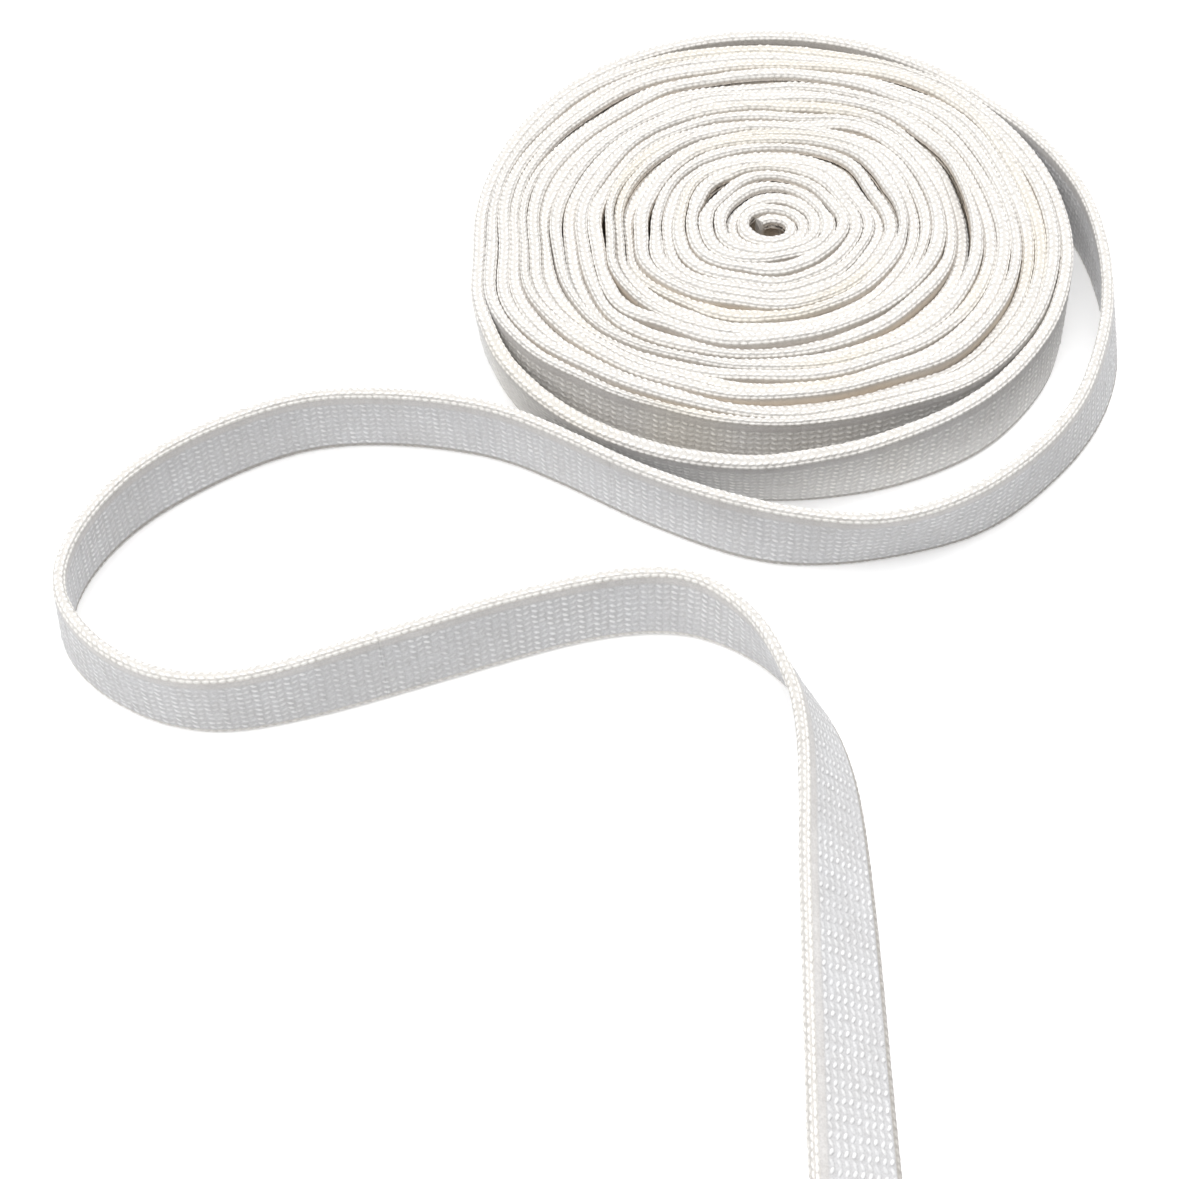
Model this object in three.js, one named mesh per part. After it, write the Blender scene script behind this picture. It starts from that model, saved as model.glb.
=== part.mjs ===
// A roll of flat cotton webbing. The webbing is wound on its edge into a loose spiral that lies
// flat, and its loose end runs round the roll, makes a wide loop and turns over onto its face.
// Millimetres, +Z up. The origin is the middle of the roll, on the surface it lies on.
// The viewer's side is -Y.

import * as THREE from 'three';

// Driving sizes
const webbingWidth = 12.7;
const webbingThickness = 1.9;
const innerTurns = 23;
const coreRadius = 1.3;
const pocketFloor = 7.5;
const rollTop = 13.3;
const turnDip = 0.8;
const gapFloor = 3.0;
const topWaver = 0.2;
const edgeRound = 0.45;
const azimuthSteps = 72;
const rootAzimuth = 41;
const stepsPerRow = 2;

// Crevices: depth for each millimetre of opening, the lowest point, how far the turns beside one
// are pushed aside as a share of its opening, and over how many turns that push dies out.
const creviceDepth = 3.2;
const creviceLowest = 5.0;
const crevicePush = 0.5;
const creviceReach = 7;

// The outer turns step in at the root of the loose end, from this turn outwards. The turns
// within it close on themselves over the last part of the circle.
const firstSteppedTurn = 16;
const closingStart = 280;
const closingLength = 80;

// The gap inside the outermost turn opens to its full depth between these two widths.
const gapClosed = 0.5;
const gapOpen = 2.1;
const closedGapDepth = 0.7;

// Outermost turn, from the place where the loose end leaves it, once round the roll.
// azimuth (deg), footRadius, topRadius, topHeight, and the gap to the turns inside it.
const outermostTurn = [
  { azimuth: 41.0, footRadius: 50.4, topRadius: 50.3, topHeight: 13.0, gap: 1.2 },
  { azimuth: 55, footRadius: 50.1, topRadius: 50.0, topHeight: 13.3, gap: 1.7 },
  { azimuth: 75, footRadius: 49.6, topRadius: 49.5, topHeight: 13.7, gap: 2.0 },
  { azimuth: 95, footRadius: 49.4, topRadius: 49.2, topHeight: 13.7, gap: 1.8 },
  { azimuth: 115, footRadius: 49.4, topRadius: 49.2, topHeight: 13.4, gap: 0.8 },
  { azimuth: 135, footRadius: 49.2, topRadius: 49.1, topHeight: 13.1, gap: 0.3 },
  { azimuth: 160, footRadius: 49.0, topRadius: 48.8, topHeight: 12.9, gap: 0.3 },
  { azimuth: 185, footRadius: 49.6, topRadius: 49.2, topHeight: 12.8, gap: 0.3 },
  { azimuth: 203, footRadius: 50.8, topRadius: 50.8, topHeight: 12.7, gap: 0.4 },
  { azimuth: 216, footRadius: 51.6, topRadius: 52.2, topHeight: 12.7, gap: 0.9 },
  { azimuth: 230, footRadius: 51.5, topRadius: 53.2, topHeight: 12.6, gap: 3.6 },
  { azimuth: 246, footRadius: 51.0, topRadius: 53.1, topHeight: 12.5, gap: 4.7 },
  { azimuth: 262, footRadius: 50.4, topRadius: 52.2, topHeight: 12.5, gap: 3.6 },
  { azimuth: 277, footRadius: 50.2, topRadius: 51.3, topHeight: 12.6, gap: 1.9 },
  { azimuth: 292, footRadius: 50.8, topRadius: 51.0, topHeight: 12.7, gap: 0.6 },
  { azimuth: 308, footRadius: 51.6, topRadius: 50.9, topHeight: 12.7, gap: 0.3 },
  { azimuth: 325, footRadius: 51.2, topRadius: 50.3, topHeight: 12.7, gap: 0.3 },
  { azimuth: 345, footRadius: 50.0, topRadius: 49.6, topHeight: 12.7, gap: 0.3 },
  { azimuth: 368, footRadius: 49.0, topRadius: 48.9, topHeight: 12.8, gap: 0.3 },
  { azimuth: 386, footRadius: 48.4, topRadius: 48.4, topHeight: 12.9, gap: 0.3 },
  { azimuth: 400.6, footRadius: 48.0, topRadius: 48.0, topHeight: 13.0, gap: 0.3 }
];

// How far the turns halfway in lie outside a true circle.
const middleBulge = [
  { azimuth: 0, bulge: -0.6 },
  { azimuth: 45, bulge: 1.1 },
  { azimuth: 90, bulge: 0.3 },
  { azimuth: 150, bulge: -1.2 },
  { azimuth: 185, bulge: 0.1 },
  { azimuth: 225, bulge: 1.5 },
  { azimuth: 270, bulge: -0.4 },
  { azimuth: 315, bulge: -1.0 },
  { azimuth: 360, bulge: -0.6 }
];

// The main crevices between turns: where the middle of each lies, half its length in degrees,
// and how far it opens.
const crevices = [
  { azimuth: 55, radius: 5.2, halfSpan: 60, opening: 1.6 },
  { azimuth: 0, radius: 9.2, halfSpan: 14, opening: 0.9 },
  { azimuth: 76, radius: 14.3, halfSpan: 18, opening: 0.8 },
  { azimuth: 140, radius: 12.4, halfSpan: 32, opening: 2.2 },
  { azimuth: 278, radius: 11.2, halfSpan: 38, opening: 1.9 },
  { azimuth: 26, radius: 19.6, halfSpan: 16, opening: 0.9 },
  { azimuth: 175, radius: 20.7, halfSpan: 24, opening: 0.8 },
  { azimuth: 250, radius: 21.2, halfSpan: 18, opening: 1.6 },
  { azimuth: 135, radius: 25.0, halfSpan: 18, opening: 0.8 },
  { azimuth: 56, radius: 25.2, halfSpan: 22, opening: 2.0 },
  { azimuth: 225, radius: 24.8, halfSpan: 24, opening: 1.6 },
  { azimuth: 24, radius: 28.2, halfSpan: 16, opening: 1.1 },
  { azimuth: 106, radius: 28.6, halfSpan: 18, opening: 1.1 },
  { azimuth: 182, radius: 28.6, halfSpan: 22, opening: 1.0 },
  { azimuth: 212, radius: 30.3, halfSpan: 18, opening: 2.6 },
  { azimuth: 305, radius: 29.4, halfSpan: 30, opening: 0.8 },
  { azimuth: 116, radius: 32.6, halfSpan: 14, opening: 0.9 },
  { azimuth: 312, radius: 33.7, halfSpan: 20, opening: 1.1 },
  { azimuth: 40, radius: 37.0, halfSpan: 18, opening: 1.1 },
  { azimuth: 205, radius: 38.0, halfSpan: 22, opening: 1.1 },
  { azimuth: 305, radius: 38.7, halfSpan: 22, opening: 0.8 },
  { azimuth: 52, radius: 42.0, halfSpan: 24, opening: 1.9 },
  { azimuth: 132, radius: 41.8, halfSpan: 16, opening: 1.0 },
  { azimuth: 106, radius: 43.4, halfSpan: 16, opening: 1.2 },
  { azimuth: 266, radius: 40.6, halfSpan: 16, opening: 0.9 },
  { azimuth: 290, radius: 45.6, halfSpan: 16, opening: 1.0 }
];

// Path of the loose end: the middle of its foot on the surface, and its lean off upright in
// degrees, positive when its top edge leans to the right of the way it runs.
const looseEndPath = [
  { x: 37.8, y: 31.8, lean: 0 },
  { x: 46.2, y: 21.7, lean: 1 },
  { x: 51.9, y: 11.0, lean: 3 },
  { x: 54.7, y: 1.5, lean: 6 },
  { x: 55.7, y: -9.0, lean: 9 },
  { x: 55.4, y: -18.0, lean: 12 },
  { x: 54.1, y: -25.8, lean: 14 },
  { x: 50.8, y: -34.1, lean: 12 },
  { x: 46.1, y: -41.3, lean: 6 },
  { x: 40.0, y: -48.0, lean: 1 },
  { x: 33.2, y: -54.0, lean: -1 },
  { x: 26.3, y: -58.0, lean: -5 },
  { x: 18.0, y: -60.4, lean: -11 },
  { x: 9.5, y: -62.0, lean: -10 },
  { x: 1.0, y: -62.4, lean: -2 },
  { x: -7.0, y: -60.9, lean: 1 },
  { x: -16.0, y: -56.8, lean: -1 },
  { x: -25.0, y: -51.6, lean: -3 },
  { x: -34.0, y: -45.6, lean: -3 },
  { x: -44.0, y: -40.0, lean: -3 },
  { x: -54.0, y: -37.2, lean: -3 },
  { x: -64.0, y: -36.0, lean: -3 },
  { x: -74.0, y: -36.6, lean: -2 },
  { x: -83.0, y: -39.8, lean: -1 },
  { x: -91.5, y: -44.9, lean: 1 },
  { x: -99.3, y: -51.0, lean: 0 },
  { x: -105.0, y: -58.0, lean: -3 },
  { x: -108.6, y: -66.0, lean: -5 },
  { x: -109.0, y: -73.5, lean: -5 },
  { x: -105.8, y: -80.0, lean: -4 },
  { x: -99.8, y: -85.5, lean: -1 },
  { x: -92.0, y: -89.6, lean: 0 },
  { x: -83.5, y: -91.0, lean: -1 },
  { x: -74.0, y: -89.4, lean: -3 },
  { x: -64.0, y: -86.6, lean: -7 },
  { x: -54.0, y: -83.2, lean: -8 },
  { x: -44.0, y: -79.8, lean: -9 },
  { x: -34.0, y: -76.6, lean: -7 },
  { x: -25.0, y: -75.0, lean: -8 },
  { x: -17.0, y: -75.2, lean: -7 },
  { x: -10.5, y: -77.6, lean: 2 },
  { x: -5.0, y: -81.6, lean: 11 },
  { x: -0.8, y: -86.6, lean: 20 },
  { x: 2.8, y: -92.7, lean: 28 },
  { x: 5.0, y: -100.0, lean: 36 },
  { x: 6.0, y: -108.0, lean: 43 },
  { x: 6.4, y: -118.0, lean: 50 },
  { x: 6.5, y: -130.0, lean: 55 },
  { x: 6.4, y: -143.0, lean: 59 },
  { x: 6.3, y: -157.0, lean: 64 },
  { x: 6.4, y: -170.0, lean: 69 },
  { x: 6.7, y: -182.0, lean: 72 }
];

const undyedCotton = { color: 0xf1ede4, roughness: 0.95, metalness: 0.0 };

// Small helpers

function smooth(t) {
  const c = Math.min(1, Math.max(0, t));
  return c * c * (3 - 2 * c);
}

// Value of one column between the rows of a table kept in order of azimuth.
function between(table, azimuth, column) {
  const last = table.length - 1;
  if (azimuth <= table[0].azimuth) {
    return table[0][column];
  }
  if (azimuth >= table[last].azimuth) {
    return table[last][column];
  }
  let i = 0;
  while (table[i + 1].azimuth < azimuth) {
    i += 1;
  }
  const t = (azimuth - table[i].azimuth) / (table[i + 1].azimuth - table[i].azimuth);
  return table[i][column] + (table[i + 1][column] - table[i][column]) * smooth(t);
}

function azimuthApart(a, b) {
  const d = Math.abs(a - b) % 360;
  return Math.min(d, 360 - d);
}

// How open a crevice is at an azimuth: 1 at its middle, 0 past its ends.
function openness(crevice, azimuth) {
  const t = azimuthApart(crevice.azimuth, azimuth) / crevice.halfSpan;
  return t >= 1 ? 0 : Math.cos(t * Math.PI / 2) ** 2;
}

function meshOf(name, positions, indices) {
  const geometry = new THREE.BufferGeometry();
  geometry.setAttribute('position', new THREE.Float32BufferAttribute(positions, 3));
  geometry.setIndex(indices);
  geometry.computeVertexNormals();
  const mesh = new THREE.Mesh(geometry, new THREE.MeshStandardMaterial(undyedCotton));
  mesh.name = name;
  return mesh;
}

// Wound roll

// Outside of the turns within the outermost one.
function bundleRadiusAt(azimuth) {
  const top = between(outermostTurn, azimuth, 'topRadius');
  return top - webbingThickness - between(outermostTurn, azimuth, 'gap');
}

// The same, closing on itself: only the outer few turns step in at the root of the loose end.
function closedRadiusAt(azimuth) {
  const start = bundleRadiusAt(rootAzimuth);
  const blend = smooth((azimuth - rootAzimuth - closingStart) / closingLength);
  return bundleRadiusAt(azimuth) * (1 - blend) + start * blend;
}

// Radius of the line between turn n and turn n + 1, before any crevice opens.
function calmRadius(n, azimuth) {
  const share = n / innerTurns;
  const step = smooth((n - firstSteppedTurn) / (innerTurns - firstSteppedTurn));
  const outside = closedRadiusAt(azimuth) * (1 - step) + bundleRadiusAt(azimuth) * step;
  const bulge = between(middleBulge, azimuth % 360, 'bulge');
  const across = Math.max(0, Math.sin(Math.PI * share)) ** 0.7;
  return coreRadius + (outside - coreRadius) * share + bulge * across * share ** 0.5;
}

// The turn line that each crevice runs along.
function lineOf(crevice) {
  const azimuth = crevice.azimuth < rootAzimuth ? crevice.azimuth + 360 : crevice.azimuth;
  let best = 1;
  for (let n = 1; n < innerTurns; n += 1) {
    const here = Math.abs(calmRadius(n, azimuth) - crevice.radius);
    const there = Math.abs(calmRadius(best, azimuth) - crevice.radius);
    if (here < there) {
      best = n;
    }
  }
  return best;
}

// Section of the roll at one azimuth, from the middle of its top to the rim of its flat base.
// Each turn has a crown and a dip beside it, and a crevice opens the dip.
function rollSection(azimuth, lines) {
  const topRadius = between(outermostTurn, azimuth, 'topRadius');
  const footRadius = between(outermostTurn, azimuth, 'footRadius');
  const topHeight = between(outermostTurn, azimuth, 'topHeight');
  const gap = between(outermostTurn, azimuth, 'gap');
  const bundle = bundleRadiusAt(azimuth);
  const section = [];
  for (let n = 0; n < innerTurns; n += 0.5) {
    let radius = calmRadius(n, azimuth);
    const crown = n % 1 > 0;
    const turn = Math.floor(n);
    const a = azimuth * Math.PI / 180;
    const wave = Math.sin(3 * a + turn * 1.9) + Math.sin(2 * a - turn * 2.7);
    let height = rollTop + topWaver * wave - (crown ? 0 : turnDip);
    crevices.forEach((crevice, i) => {
      const open = crevice.opening * openness(crevice, azimuth);
      const apart = n - lines[i];
      const fade = Math.max(0, 1 - Math.abs(apart) / creviceReach);
      radius += Math.sign(apart) * crevicePush * open * fade;
      if (apart === 0) {
        height -= creviceDepth * open;
      }
    });
    section.push([radius, Math.max(creviceLowest, height)]);
  }
  section.push([bundle, rollTop + topWaver]);
  const open = smooth((gap - gapClosed) / (gapOpen - gapClosed));
  const shallow = topHeight - closedGapDepth;
  const floor = shallow + (gapFloor - shallow) * open;
  const leanThere = (topRadius - footRadius) * floor / topHeight;
  const innerWall = footRadius + leanThere - webbingThickness;
  const wallFoot = Math.min(bundle + 0.1, innerWall - 0.15);
  section.push([wallFoot, floor]);
  section.push([Math.max(innerWall, wallFoot + 0.15), floor]);
  section.push([topRadius - webbingThickness + 0.1, topHeight - 0.2]);
  section.push([topRadius - edgeRound, topHeight]);
  section.push([topRadius, topHeight - edgeRound]);
  section.push([footRadius, edgeRound]);
  section.push([footRadius - edgeRound, 0]);
  return section;
}

function woundRoll() {
  const azimuths = [rootAzimuth];
  for (let i = 1; i < azimuthSteps; i += 1) {
    azimuths.push(rootAzimuth + i * 360 / azimuthSteps);
  }
  azimuths.push(rootAzimuth + 359.6);
  const lines = crevices.map(lineOf);
  const positions = [];
  const indices = [];
  positions.push(0, 0, pocketFloor);
  positions.push(0, 0, 0);
  let count = 0;
  azimuths.forEach((azimuth) => {
    const section = rollSection(azimuth, lines);
    count = section.length;
    const a = azimuth * Math.PI / 180;
    section.forEach(([radius, height]) => {
      positions.push(radius * Math.cos(a), radius * Math.sin(a), height);
    });
  });
  const rings = azimuths.length;
  const at = (i, j) => 2 + (i % rings) * count + j;
  for (let i = 0; i < rings; i += 1) {
    indices.push(0, at(i, 0), at(i + 1, 0));
    for (let j = 0; j < count - 1; j += 1) {
      indices.push(at(i, j), at(i, j + 1), at(i + 1, j + 1));
      indices.push(at(i, j), at(i + 1, j + 1), at(i + 1, j));
    }
    indices.push(1, at(i + 1, count - 1), at(i, count - 1));
  }
  return meshOf('wound_roll', positions, indices);
}

// Loose end

// Even steps along a smooth curve through the rows of the path.
function pathStations() {
  const plan = looseEndPath.map((row) => new THREE.Vector3(row.x, row.y, row.lean));
  const curve = new THREE.CatmullRomCurve3(plan, false, 'catmullrom', 0.5);
  const count = (looseEndPath.length - 1) * stepsPerRow;
  const stations = [];
  for (let i = 0; i <= count; i += 1) {
    const t = i / count;
    const point = curve.getPoint(t);
    const ahead = curve.getPoint(Math.min(1, t + 1e-4));
    const behind = curve.getPoint(Math.max(0, t - 1e-4));
    const along = new THREE.Vector3(ahead.x - behind.x, ahead.y - behind.y, 0).normalize();
    stations.push({ x: point.x, y: point.y, lean: point.z * Math.PI / 180, along });
  }
  return stations;
}

// Section of the webbing: across its thickness and up its width, with eased selvages.
function webbingSection() {
  const half = webbingThickness / 2;
  return [
    [-half + edgeRound, 0],
    [half - edgeRound, 0],
    [half, edgeRound],
    [half, webbingWidth - edgeRound],
    [half - edgeRound, webbingWidth],
    [-half + edgeRound, webbingWidth],
    [-half, webbingWidth - edgeRound],
    [-half, edgeRound]
  ];
}

function looseEnd() {
  const outline = webbingSection();
  const stations = pathStations();
  const positions = [];
  const indices = [];
  stations.forEach(({ x, y, lean, along }) => {
    const right = new THREE.Vector3(along.y, -along.x, 0);
    const points = outline.map(([across, up]) => {
      const side = across * Math.cos(lean) + up * Math.sin(lean);
      const height = up * Math.cos(lean) - across * Math.sin(lean);
      return [x + right.x * side, y + right.y * side, height];
    });
    const lowest = Math.min(...points.map((point) => point[2]));
    points.forEach((point) => {
      positions.push(point[0], point[1], point[2] - lowest);
    });
  });
  const sides = outline.length;
  const last = stations.length - 1;
  for (let i = 0; i < last; i += 1) {
    for (let j = 0; j < sides; j += 1) {
      const a = i * sides + j;
      const b = i * sides + (j + 1) % sides;
      indices.push(a, a + sides, b + sides);
      indices.push(a, b + sides, b);
    }
  }
  for (let j = 1; j < sides - 1; j += 1) {
    indices.push(0, j, j + 1);
    indices.push(last * sides, last * sides + j + 1, last * sides + j);
  }
  return meshOf('loose_end', positions, indices);
}

const webbing = new THREE.Group();
webbing.add(woundRoll());
webbing.add(looseEnd());

export default webbing;
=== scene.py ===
# A roll of undyed cotton webbing, wound on its edge, with its loose end looping away.
import math

import bpy
import numpy as np
from mathutils import Matrix


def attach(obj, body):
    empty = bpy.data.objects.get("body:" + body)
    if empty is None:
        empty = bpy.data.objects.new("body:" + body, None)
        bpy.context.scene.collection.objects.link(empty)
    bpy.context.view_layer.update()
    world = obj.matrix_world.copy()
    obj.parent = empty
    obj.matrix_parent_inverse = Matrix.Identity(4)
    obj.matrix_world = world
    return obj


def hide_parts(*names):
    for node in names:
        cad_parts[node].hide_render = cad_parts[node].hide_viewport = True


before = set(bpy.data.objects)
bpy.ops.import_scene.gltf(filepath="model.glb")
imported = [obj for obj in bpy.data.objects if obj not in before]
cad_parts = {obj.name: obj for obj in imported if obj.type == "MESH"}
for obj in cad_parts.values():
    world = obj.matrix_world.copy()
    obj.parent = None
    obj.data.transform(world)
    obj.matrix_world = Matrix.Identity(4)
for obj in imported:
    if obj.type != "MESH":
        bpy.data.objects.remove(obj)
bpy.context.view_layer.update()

mm = 0.001
print("frame loaded:", ", ".join(sorted(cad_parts)))


# Camera, at the photograph's viewing angle
view = {
    "place": (-29.46, -272.4, 260.35),  # mm from the middle of the roll
    "down": 51.7,                       # degrees below level
    "roll": -1.15,                      # degrees about its own axis
    "lens": 66.0,
    "sensor": 36.0,
    "clip": (0.01, 20.0),               # m
}


def addCamera():
    data = bpy.data.cameras.new("viewCamera")
    data.sensor_fit = "HORIZONTAL"
    data.sensor_width = view["sensor"]
    data.lens = view["lens"]
    data.clip_start, data.clip_end = view["clip"]
    camera = bpy.data.objects.new("viewCamera", data)
    bpy.context.scene.collection.objects.link(camera)
    tip = Matrix.Rotation(math.radians(90 - view["down"]), 4, "X")
    spin = Matrix.Rotation(math.radians(view["roll"]), 4, "Z")
    place = Matrix.Translation([c * mm for c in view["place"]])
    camera.matrix_world = place @ tip @ spin
    bpy.context.scene.camera = camera


addCamera()
print("camera placed")


# The webbing itself: its weave, as knots that stand out of a plain strip
webbing = {
    "width": 12.7,        # mm from selvage to selvage
    "thickness": 1.9,
    "pick": 1.15,         # one weft thread to the next along the length
    "faceYarns": 10,      # warp columns up each face
    "edgeYarns": 4,       # warp columns over each selvage
    "perKnot": 4,         # mesh steps to a knot along the webbing
    "perYarn": 3,         # and mesh lines to a column
    "edgeRise": 0.95,     # height of the rounded selvage
    "edgeRound": 0.7,     # power of its curve, 1 for a half circle
    "beadColumn": 1.5,    # yarns from the middle of the upper selvage to the beads
    "stripColumn": 2.5,   # and to the smooth strip below them
    "faceRelief": 0.15,   # how far a knot of the face stands out
    "edgeRelief": 0.26,   # and one of the selvage
    "beadRelief": 0.10,   # and one of the beads along each side of the upper selvage
    "stripRelief": 0.04,  # and one of the smooth strip below them
    "footRelief": 0.07,   # and one of the lower selvage
    "knotTop": 1.05,      # a knot is a dome of this height, cut off flat at 1
    "knotPower": 0.6,     # power that fills the dome out
    "knotSink": 0.6,      # share of its relief by which the cloth between knots lies back
    "weakPick": 0.64,     # every second row of knots is this much smaller
    "lean": 30.0,         # degrees that a knot turns off the way the webbing runs
    "knotLength": 1.95,   # how soon a knot falls off along it
    "knotWidth": 2.8,     # and across it
    "dashWidth": 3.8,     # the same for the bright back of a knot of the face, bright where the painted shade between knots stops
    "beadLength": 1.1,    # share by which a bead is shorter
    "uneven": 0.40,       # share by which knots differ
    "slip": 0.26,         # and by which they sit off their place
    "knotTable": (997, 64),  # rows and columns of chance before they repeat
    "otherRow": 311,      # rows on from a knot's place to where its size is read
    "creviceShadeReach": (0.2, 1.5),  # mm below the selvage where the painted crevice shade starts, and its fade
    "seed": 11,
}
step = webbing["pick"] / webbing["perKnot"]
faceLines = webbing["faceYarns"] * webbing["perYarn"]
edgeLines = webbing["edgeYarns"] * webbing["perYarn"]
allLines = 2 * (faceLines + edgeLines)
yarnsRound = 2 * (webbing["faceYarns"] + webbing["edgeYarns"])
topYarn = webbing["faceYarns"] + webbing["edgeYarns"] / 2   # middle of the upper selvage
firstTopLine = faceLines
lastTopLine = faceLines + edgeLines


def rng(offset):
    return np.random.default_rng(webbing["seed"] + offset)


def smooth(t):
    c = np.clip(t, 0, 1)
    return c * c * (3 - 2 * c)


def between(rows, column, azimuth):
    # value of one column of a table kept in order of azimuth, eased between its rows
    at = np.array([row["azimuth"] for row in rows], float)
    value = np.array([row[column] for row in rows], float)
    i = np.clip(np.searchsorted(at, azimuth, side="right") - 1, 0, len(at) - 2)
    t = smooth((azimuth - at[i]) / (at[i + 1] - at[i]))
    return value[i] + (value[i + 1] - value[i]) * t


def wander(count, spacing, reach, offset):
    # smooth random line: count samples, spacing apart, that changes over about reach
    knots = max(4, int(count * spacing / reach) + 4)
    values = rng(offset).uniform(-1, 1, knots)
    x = np.arange(count) * spacing / reach
    i = x.astype(int)
    t = smooth(x - i)
    return values[i] * (1 - t) + values[i + 1] * t


def ironed(values, width):
    # running average with a bell weight, ends held
    span = int(3 * width) + 1
    weights = np.exp(-0.5 * (np.arange(-span, span + 1) / width) ** 2)
    weights /= weights.sum()
    padded = np.concatenate([np.full(span, values[0]), values, np.full(span, values[-1])])
    return np.convolve(padded, weights, "valid")


def outline():
    # lines round the webbing: up the outer face, over the top selvage, down the inner
    # face and under the bottom one. across is in half thicknesses, up in mm.
    rise = webbing["edgeRise"]
    high = webbing["width"] - rise
    climb = np.linspace(rise, high, faceLines, endpoint=False)
    turn = np.linspace(0, np.pi, edgeLines, endpoint=False)
    curve = np.sign(np.cos(turn)) * np.abs(np.cos(turn)) ** webbing["edgeRound"]
    lift = rise * np.sin(turn) ** webbing["edgeRound"]
    ones = np.ones(faceLines)
    fall = webbing["width"] - climb
    across = np.concatenate([ones, curve, -ones, -curve])
    up = np.concatenate([climb, high + lift, fall, rise - lift])
    half = webbing["thickness"] / 2
    ahead = np.stack([np.roll(across, -1) * half, np.roll(up, -1)], 1)
    behind = np.stack([np.roll(across, 1) * half, np.roll(up, 1)], 1)
    run = ahead - behind
    run /= np.linalg.norm(run, axis=1)[:, None]
    out = np.stack([run[:, 1], -run[:, 0]], 1)
    return across, up, out


lineAcross, lineUp, lineOut = outline()


def knotHeights(along, lines):
    # how far each point of the webbing stands out on its knot, in mm
    per = webbing["perYarn"]
    yarn = (lines // per) % yarnsRound
    side = (lines % per) / per - 0.5
    selvage = yarn % (yarnsRound // 2) >= webbing["faceYarns"]
    fromTop = np.abs(yarn + 0.5 - topYarn)
    bead = fromTop == webbing["beadColumn"]
    shift = np.where((selvage | bead) & (yarn % 2 == 1), 0.5, 0.0)
    place = along[:, None] / webbing["pick"] + shift[None, :]
    pick = np.floor(place).astype(int)
    mid = place - pick - 0.5
    odd = np.where(selvage[None, :], (yarn % 2)[None, :], pick % 2)
    table = rng(1).uniform(-1, 1, webbing["knotTable"])
    tableRows = webbing["knotTable"][0]
    slip = webbing["slip"] / 2 * table[pick % tableRows, yarn[None, :]]
    way = np.where(bead[None, :], 0, 1 - 2 * odd)
    tilt = math.radians(webbing["lean"])
    mid = mid + slip
    longways = mid * math.cos(tilt) + way * side[None, :] * math.sin(tilt)
    sideways = side[None, :] * math.cos(tilt) - way * mid * math.sin(tilt)
    longways = longways * webbing["knotLength"] * np.where(bead, webbing["beadLength"], 1)[None, :]
    dome = webbing["knotTop"] - longways ** 2 - (webbing["knotWidth"] * sideways) ** 2
    dome = np.clip(dome, 0, 1) ** webbing["knotPower"]
    weak = np.where((selvage | bead)[None, :] | (pick % 2 == 0), 1.0, webbing["weakPick"])
    chance = table[(pick + webbing["otherRow"]) % tableRows, yarn[None, :] + yarnsRound]
    tall = weak * (1 + webbing["uneven"] * chance)
    size = np.where(selvage, webbing["edgeRelief"], webbing["faceRelief"])
    size = np.where(bead, webbing["beadRelief"], size)
    size = np.where(fromTop == webbing["stripColumn"], webbing["stripRelief"], size)
    size = np.where(yarn >= yarnsRound - webbing["edgeYarns"], webbing["footRelief"], size)
    return size[None, :] * (dome * tall - webbing["knotSink"])


def surface(run, rows, lines, relief=True):
    # points of the webbing at these stations and lines
    half = run["thick"][rows][:, None] / 2
    side = lineAcross[lines][None, :] * half
    rise = np.broadcast_to(lineUp[lines][None, :], side.shape)
    if relief:
        height = knotHeights(run["along"][rows], lines)
        side = side + lineOut[lines, 0][None, :] * height
        rise = rise + lineOut[lines, 1][None, :] * height
    return (
        run["foot"][rows][:, None, :]
        + run["across"][rows][:, None, :] * side[..., None]
        + run["up"][rows][:, None, :] * rise[..., None]
    )


def shadesAt(run, rows, lines):
    # what the colour needs to know there: painted shade between turns, aged stretches, wound or loose
    shape = (len(rows), len(lines))
    dustFrom, dustOver = webbing["creviceShadeReach"]
    # painted shade, stronger deeper below the upper selvage
    shadeByDepth = smooth((webbing["width"] - lineUp[lines] - dustFrom) / dustOver)[None, :]
    outerSide = (lineAcross[lines] > 0)[None, :]
    creviceShadeAmount = np.where(outerSide, run["outerCreviceShade"][rows][:, None], run["innerCreviceShade"][rows][:, None])
    return {
        "creviceShade": shadeByDepth * creviceShadeAmount,
        "tone": np.broadcast_to(run["tone"][rows][:, None], shape),
        "wound": np.broadcast_to(run["wound"][rows][:, None], shape),
    }


weaveScale = 0.01            # of the weave's own coordinates

# Where nothing shows, the webbing is meshed with fewer and smooth faces
coarse = {
    "every": 4,              # stations to a coarse step
    "faceLines": (2, 16),    # coarse lines kept on each face, from the foot
    "clear": 2,              # lines left free between the fine mesh and the coarse
}


def quadsOf(grid):
    return np.stack([grid[:-1, :-1], grid[:-1, 1:], grid[1:, 1:], grid[1:, :-1]], -1).reshape(-1, 4)


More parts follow.
